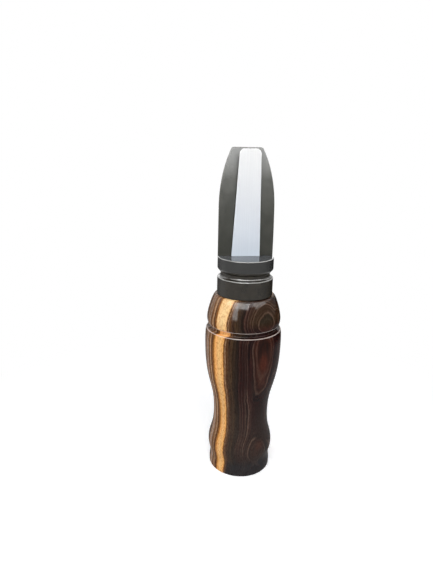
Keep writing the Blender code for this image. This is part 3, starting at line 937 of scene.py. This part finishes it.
def wood_material():
    """Figured dark hardwood with one pale stripe of sapwood, under gloss lacquer."""
    g = Graph("figured_hardwood")
    place = g.place()
    height = g.split(place)["Z"]
    side = g.vector("DOT_PRODUCT", place, LAYER_SIDE)
    layer = layer_place(g, place, side, height)
    figure = g.join(layer, side, height)
    share = g.math("DIVIDE", g.math("SUBTRACT", layer, LAYER_LOW), LAYER_HIGH - LAYER_LOW)
    colour = wood_colour(g, place, figure, share, height, layer)
    colour = g.mix(growth_lines(g, place, figure, side, share, height, layer), colour, srgb(LINE_COLOUR))
    # Painted sheen: the pale stripe paler still in the crown
    sapwood = g.span(g.math("ABSOLUTE", layer), *SAPWOOD)
    colour = g.mix(g.times(sapwood, g.span(height, *STRIPE_SHEEN_HEIGHTS)), colour, srgb(STRIPE_SHEEN_COLOUR))
    # Painted shade: the wood a little darker below the belly
    colour = g.mix(g.span(height, *LOWER_SHADE_HEIGHTS), colour, srgb(LOWER_SHADE_COLOUR), "MULTIPLY")
    pores = g.noise(place, *PORES)
    colour = g.mix(g.span(pores, *PORE_DARK), colour, srgb(PORE_COLOUR), "MULTIPLY")
    # Painted highlights: pale lines on both edges of the lanyard groove
    colour = g.mix(g.times(groove_edge_highlights(g, place, height), HIGHLIGHT_SHARE), colour, srgb(GROOVE_HIGHLIGHT_COLOUR))
    g.set(Base_Color=colour, Roughness=g.span(pores, *PORE_ROUGH), Specular_IOR_Level=0.0,
          Coat_Weight=0.16, Coat_Roughness=0.1, Coat_IOR=1.6, Normal=g.bump(pores, 0.12, 0.0001))
    return g.owner


def groove_edge_highlights(g, place, height):
    """Painted highlights on both edges of the lanyard groove."""
    radius = g.radius(place)
    shoulder_radius = (BELLY_RADIUS - SHOULDER_INSET) / MM
    crown_radius = (CROWN_RADIUS - CROWN_UNDERCUT) / MM
    on_shoulder = g.span(radius, shoulder_radius - 0.35, shoulder_radius - 0.2)
    shoulder = g.times(g.band(height, SHOULDER_END - 0.1, 0.06, 0.1), on_shoulder)
    on_crown = g.span(radius, crown_radius - 0.3, crown_radius - 0.15)
    crown = g.times(g.band(height, CROWN_START + 0.08, 0.1, 0.12), on_crown)
    return g.math("MAXIMUM", shoulder, crown)


# Black plastic: colours of its body and ring, the painted reflection on the polished ledge, the sanded face, the
# painted sheen towards the face's tip and the painted highlights on its edges
BLACK_CLOUDS = ((0.3, "1e1a12"), (0.7, "272219"))
RING_COLOUR = "2c2c2b"
LEDGE_REFLECTION_COLOUR = "3c3f43"
SANDED_COLOUR = "1c2015"
TIP_SHEEN_COLOUR = "525350"
EDGE_HIGHLIGHT_COLOUR = "b0b0ac"
# Heights between which painted sheen pales the face towards the lips
TIP_SHEEN_HEIGHTS = ((LEDGE + 28.5 * MM) / MM, TIP / MM)
# Roughness of the body, and what fine grain, polish, sanding and the band of painted sheen add to it
BODY_ROUGH = (0.3, 0.7, 0.15, 0.2)
FINE_ROUGH, POLISH_ROUGH, SANDED_ROUGH, TIP_SHEEN_ROUGH = 0.06, -0.12, 0.13, 0.2


def plastic_material(name, tool_marks):
    """Satin black plastic with turning marks, painted highlights on its edges, and painted reflection and sheen on its
    ledge and face.
    """
    g = Graph(name)
    place = g.place()
    height = g.split(place)["Z"]
    facing = g.split(g.node("NewGeometry").outputs["Normal"])
    ledge, rim = LEDGE / MM, COLLAR_RADIUS / MM
    cloudy = g.noise(place, (0.35, 0.35, 0.35), 3.0)
    fine = g.noise(place, (9.0, 9.0, 9.0), 2.0)
    polish_and_reflection = g.times(g.span(facing["Z"], 0.8, 0.95), g.band(height, ledge, 0.1, 0.1))
    sanded = g.times(g.span(facing["Y"], -0.8, -0.95), g.span(height, ledge, ledge + 0.3))
    tip_sheen = g.times(sanded, g.span(height, *TIP_SHEEN_HEIGHTS))
    ring = g.band(height, (RING_FOOT + LEDGE) / 2 / MM, 2.0, 0.6)
    # Painted highlights: thin pale lines round the ledge's edge and the collar's top edge
    edge = g.math("MAXIMUM", g.band(height, ledge - 0.1, 0.06, 0.12), g.band(height, COLLAR_TOP / MM, 0.08, 0.12))
    edge = g.times(edge, g.span(g.radius(place), rim - 0.5, rim - 0.25))
    colour = shading(g, cloudy, BLACK_CLOUDS)
    colour = g.mix(ring, colour, srgb(RING_COLOUR))
    # Painted reflection: the polished ledge lighter and bluer where it mirrors the reed; its lower roughness is real
    # polish
    colour = g.mix(polish_and_reflection, colour, srgb(LEDGE_REFLECTION_COLOUR))
    colour = g.mix(g.times(sanded, 0.6), colour, srgb(SANDED_COLOUR))
    # Painted sheen: the face paler towards its tip
    colour = g.mix(tip_sheen, colour, srgb(TIP_SHEEN_COLOUR))
    colour = g.mix(g.times(edge, HIGHLIGHT_SHARE), colour, srgb(EDGE_HIGHLIGHT_COLOUR))
    turned = g.noise(place, (0.05, 0.05, 7.0), 1.0)
    relief = g.plus(g.times(turned, tool_marks), g.times(fine, 0.04))
    rough = g.plus(g.span(cloudy, *BODY_ROUGH), g.times(fine, FINE_ROUGH), g.times(polish_and_reflection, POLISH_ROUGH),
                   g.times(sanded, SANDED_ROUGH), g.times(tip_sheen, TIP_SHEEN_ROUGH))
    g.set(Base_Color=colour, Roughness=rough, Specular_IOR_Level=0.38, Normal=g.bump(relief, 0.06, 0.00005))
    return g.owner


# White film from tail to tip, greyer near its root and paler towards its tip by painted shade and sheen, and across its
# drawing lines; rubber through its grain
FILM_SHADE_ALONG = ((0.12, "ced7e1"), (0.55, "d8dbdf"), (0.95, "e9e9e8"))
FILM_LINES = ((0.3, "fefefe"), (0.7, "ffffff"))
RUBBER_GRAIN = ((0.3, "171717"), (0.7, "232222"))


def film_material():
    """White polyester film, with painted shade that greys it near its root and painted sheen that pales it towards its
    tip, and faint lengthwise drawing lines.
    """
    g = Graph("white_reed_film")
    across_along = g.node("TexCoord").outputs["UV"]
    along = g.split(across_along)["Y"]
    drawn = g.noise(across_along, (60.0, 1.5, 1.0), 2.0)
    # Painted shade and sheen: greyer near the root, paler towards the tip
    colour = shading(g, along, FILM_SHADE_ALONG)
    colour = g.mix(1.0, colour, shading(g, drawn, FILM_LINES), "MULTIPLY")
    g.set(Base_Color=colour, Roughness=g.span(drawn, 0.3, 0.7, 0.25, 0.28), Specular_IOR_Level=0.4,
          Normal=g.bump(drawn, 0.003, 0.00001))
    return g.owner


def rubber_material():
    """Matt moulded rubber."""
    g = Graph("seal_rubber")
    grain = g.noise(g.place(), (12.0, 12.0, 12.0), 3.0)
    g.set(Base_Color=shading(g, grain, RUBBER_GRAIN), Roughness=g.span(grain, 0.3, 0.7, 0.5, 0.65),
          Specular_IOR_Level=0.35, Normal=g.bump(grain, 0.3, 0.00005))
    return g.owner


# Stage

# Where the lamps and cards look
LAMP_TARGET = Vector((0.0, 0.0, 0.07))
# Soft boxes: name, place, width and height in metres, power, and whether they show in gloss
BOXES = (
    ("front_box", (-0.03, -0.43, 0.49), (0.62, 0.34), 3.1, False),
    ("rim_box", (-0.45, 0.2, 0.25), (0.2, 0.25), 0.4, True),
    ("top_box", (-0.1, 0.0, 0.7), (0.3, 0.3), 0.5, False),
)
# Cards of sky, which show only in gloss: name, degrees from -Y, degrees up, width and height in metres, radiance
SKY_CARDS = (
    ("sky_far_left", -140, 34, 0.48, 0.26, 1.5), ("sky_left", -54, 34, 0.48, 0.26, 12.0),
    ("sky_front", -17, 35, 0.48, 0.26, 25.0), ("sky_gap", 18, 37, 0.27, 0.22, 10.0),
    ("sky_high", 8, 72, 0.48, 0.14, 20.0), ("sky_right", 54, 34, 0.48, 0.26, 14.0),
    ("sky_far_right", 108, 34, 0.48, 0.26, 3.0),
)
SKY_DISTANCE = 0.6
# Further cards that show only in gloss: name, place, size, power
LOW_CARDS = (
    ("back_card", (0.05, 0.58, 0.26), (0.36, 0.2), 0.5),
    ("side_card", (-0.29, -0.385, 0.19), (0.14, 0.15), 1.1),
)
# Light from all round, and the floor, which runs out into white between two distances from the axis
AMBIENT = 0.3
AMBIENT_COLOUR = "f6f8ff"
FLOOR_SIZE = 6.0
FLOOR_COLOUR = "f2f2f2"
FLOOR_GLOW = 0.42
FLOOR_WHITE = (0.03, 0.16)
# Dark ground that shows only in gloss: the distances between which it comes in and, for its right and left half, the
# cosines from straight behind between which it comes in, with how much of the white it takes away
GROUND_SIZE = 3.0
GROUND_HEIGHT = 0.001
GROUND_COLOUR = "0a0a0a"
GROUND_AWAY = (0.13, 0.2)
GROUND_RIGHT = (-0.9, 0.65, 0.0, 0.97)
GROUND_LEFT = (0.2, 1.0, 0.0, 0.88)
GROUND_MIDDLE = (-0.05, 0.05)


def make_world():
    """White where the background shows, and plain soft light elsewhere."""
    g = Graph("studio", bpy.data.worlds)
    bpy.context.scene.world = g.owner
    g.nodes.clear()
    white = g.node("Background", (1.0, 1.0, 1.0, 1.0), 1.0)
    soft = g.node("Background", srgb(AMBIENT_COLOUR), AMBIENT)
    mixed = g.node("MixShader", g.background_rays(), soft.outputs[0], white.outputs[0])
    g.links.new(mixed.outputs[0], g.node("OutputWorld").inputs[0])


def level_square(name, size, height, material):
    """A level square round the axis."""
    half = size / 2
    corners = ((-half, -half), (half, -half), (half, half), (-half, half))
    square = add_mesh(name, [(x, y, height) for x, y in corners], [(0, 1, 2, 3)])
    square.data.materials.append(material)
    return square


def make_floor():
    """A pale floor that keeps the call's shadow and runs out into white."""
    g = Graph("pale_floor")
    floor = level_square("floor", FLOOR_SIZE, 0.0, g.owner)
    away = g.vector("LENGTH", g.node("TexCoord").outputs["Object"])
    rays = g.background_rays()
    g.set(Base_Color=srgb(FLOOR_COLOUR), Roughness=0.9, Specular_IOR_Level=0.0)
    glow = g.node("Emission")
    g.put(glow.inputs["Strength"], g.times(rays, FLOOR_GLOW))
    near = g.node("AddShader", g.shader.outputs[0], glow.outputs[0])
    far = g.times(g.span(away, *FLOOR_WHITE), rays)
    g.blend(far, near, g.node("Emission"))


def make_dark_ground():
    """A dark card behind the call that shows only in its gloss, and keeps the black insert's edges dark."""
    g = Graph("dark_ground")
    card = level_square("dark_ground", GROUND_SIZE, GROUND_HEIGHT, g.owner)
    for rays in ("camera", "diffuse", "transmission", "volume_scatter", "shadow"):
        setattr(card, "visible_" + rays, False)
    place = g.node("TexCoord").outputs["Object"]
    away = g.vector("LENGTH", place)
    across, back, _ = g.split(place)
    behind = g.math("DIVIDE", back, away)
    on_right = g.span(across, *GROUND_MIDDLE)
    right = g.times(on_right, g.span(behind, *GROUND_RIGHT))
    left = g.times(g.less(on_right), g.span(behind, *GROUND_LEFT))
    dark = g.times(g.plus(right, left), g.span(away, *GROUND_AWAY))
    g.set(Base_Color=srgb(GROUND_COLOUR), Roughness=1.0, Specular_IOR_Level=0.0)
    g.blend(dark, g.node("BsdfTransparent"), g.shader)


def make_lamp(name, place, size, power, lit=True, mirrored=True):
    """A rectangular lamp that looks at the barrel; lit lights surfaces and mirrored shows in their gloss."""
    lamp = bpy.data.lights.new(name, "AREA")
    lamp.shape = "RECTANGLE"
    lamp.size, lamp.size_y = size
    lamp.energy = power
    holder = add_object(name, lamp)
    holder.location = place
    holder.visible_camera = False
    holder.visible_diffuse = lit
    holder.visible_glossy = mirrored
    holder.rotation_mode = "QUATERNION"
    holder.rotation_quaternion = (LAMP_TARGET - Vector(place)).to_track_quat("-Z", "Y")


def make_camera():
    """The photograph's viewpoint."""
    camera = bpy.data.cameras.new("camera")
    camera.sensor_width = SENSOR
    camera.lens = SENSOR * FOCAL_PIXELS / IMAGE_HEIGHT
    camera.clip_start = 0.01
    holder = add_object("camera", camera)
    forward = Vector((math.sin(YAW) * math.cos(PITCH), math.cos(YAW) * math.cos(PITCH), -math.sin(PITCH)))
    right = forward.cross(Vector((0, 0, 1))).normalized()
    up = right.cross(forward)
    rolled_right = math.cos(ROLL) * right + math.sin(ROLL) * up
    rolled_up = math.cos(ROLL) * up - math.sin(ROLL) * right
    turn = Matrix((rolled_right, rolled_up, -forward)).transposed()
    holder.matrix_world = Matrix.Translation(EYE) @ turn.to_4x4()
    bpy.context.scene.camera = holder


def make_stage():
    """World, floor, lamps, cards and camera."""
    make_world()
    make_floor()
    make_dark_ground()
    for name, place, size, power, mirrored in BOXES:
        make_lamp(name, place, size, power, mirrored=mirrored)
    for name, degrees_round, degrees_up, wide, tall, radiance in SKY_CARDS:
        azimuth, elevation = math.radians(degrees_round), math.radians(degrees_up)
        level = math.cos(elevation)
        way = Vector((math.sin(azimuth) * level, -math.cos(azimuth) * level, math.sin(elevation)))
        place = LAMP_TARGET + SKY_DISTANCE * way
        make_lamp(name, place, (wide, tall), radiance * math.pi * wide * tall, lit=False)
    for name, place, size, power in LOW_CARDS:
        make_lamp(name, place, size, power, lit=False)
    make_camera()


def main():
    """The six pieces of the call and its stage."""
    bpy.context.scene.view_settings.view_transform = "Standard"
    make_barrel(wood_material())
    make_toneboard(plastic_material("black_insert", 1.0))
    make_wedge(plastic_material("black_wedge", 0.3))
    make_reed(film_material())
    make_o_rings(rubber_material())
    make_stage()


main()
